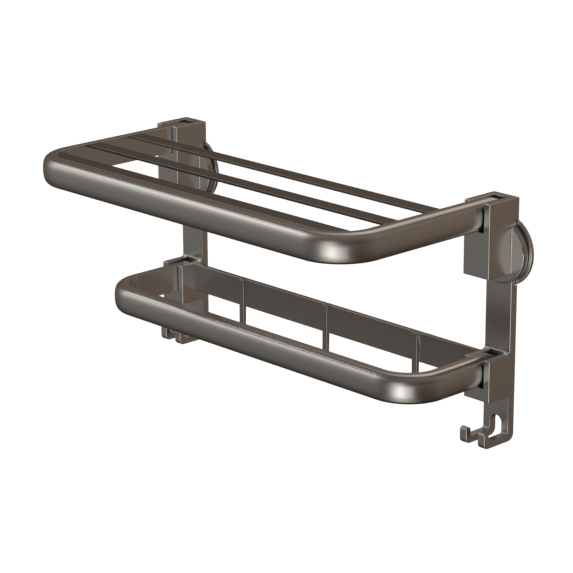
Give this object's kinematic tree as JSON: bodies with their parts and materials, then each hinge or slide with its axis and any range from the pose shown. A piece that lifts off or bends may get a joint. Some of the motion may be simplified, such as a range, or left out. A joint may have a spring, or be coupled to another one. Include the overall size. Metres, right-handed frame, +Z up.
{
  "type": "towel rack",
  "caption": "Wall-mounted two-tier towel rack with a fold-up slatted shelf over a hinged U-shaped towel bar, cast end brackets, round wall discs and a hook rail.",
  "frame": {"origin": "on the wall plane, midway between the centres of the two wall discs", "axes": "+X along the rack to the right as seen from the room, +Y into the wall, +Z up; the room is on the -Y side"},
  "size_m": [0.476, 0.213, 0.226],
  "materials": {
    "bracket_metal": "satin gunmetal lacquer",
    "rail_metal": "satin gunmetal anodised, drawn along the rail",
    "slat_metal": "satin gunmetal",
    "pad": "matt foam pad",
    "screw": "plain steel",
    "plastic": "matt moulded",
    "cap": "moulded in the metal's tone",
    "bush": "moulded nylon"
  },
  "bodies": {
    "frame": {"bracket_left": "bracket_metal", "bracket_right": "bracket_metal", "wall_disc_left": "bracket_metal", "wall_disc_right": "bracket_metal", "wall_pad_left": "pad", "wall_pad_right": "pad", "disc_grub_screws": "screw", "hook_rail": "bracket_metal", "shelf_hinge_bushes": "bush", "bar_hinge_bushes": "bush"},
    "shelf": {"shelf_rail": "rail_metal", "shelf_slat_front": "slat_metal", "shelf_slat_middle": "slat_metal", "shelf_slat_rear": "slat_metal", "shelf_hinge_plug_left": "plastic", "shelf_hinge_plug_right": "plastic", "shelf_hinge_pins": "screw", "shelf_end_cap_left": "cap", "shelf_end_cap_right": "cap"},
    "towel_bar": {"bar_rail": "rail_metal", "bar_hinge_plug_left": "plastic", "bar_hinge_plug_right": "plastic", "bar_hinge_pins": "screw", "bar_end_cap_left": "cap", "bar_end_cap_right": "cap"}
  },
  "joints": [
    {"name": "shelf_fold", "type": "hinge", "parent": "frame", "child": "shelf", "pos_m": [0, -0.02, 0.039], "axis": [-1, 0, 0], "range_deg": [0, 90]},
    {"name": "towel_bar_fold", "type": "hinge", "parent": "frame", "child": "towel_bar", "pos_m": [0, -0.02, -0.105], "axis": [-1, 0, 0], "range_deg": [0, 70]}
  ]
}
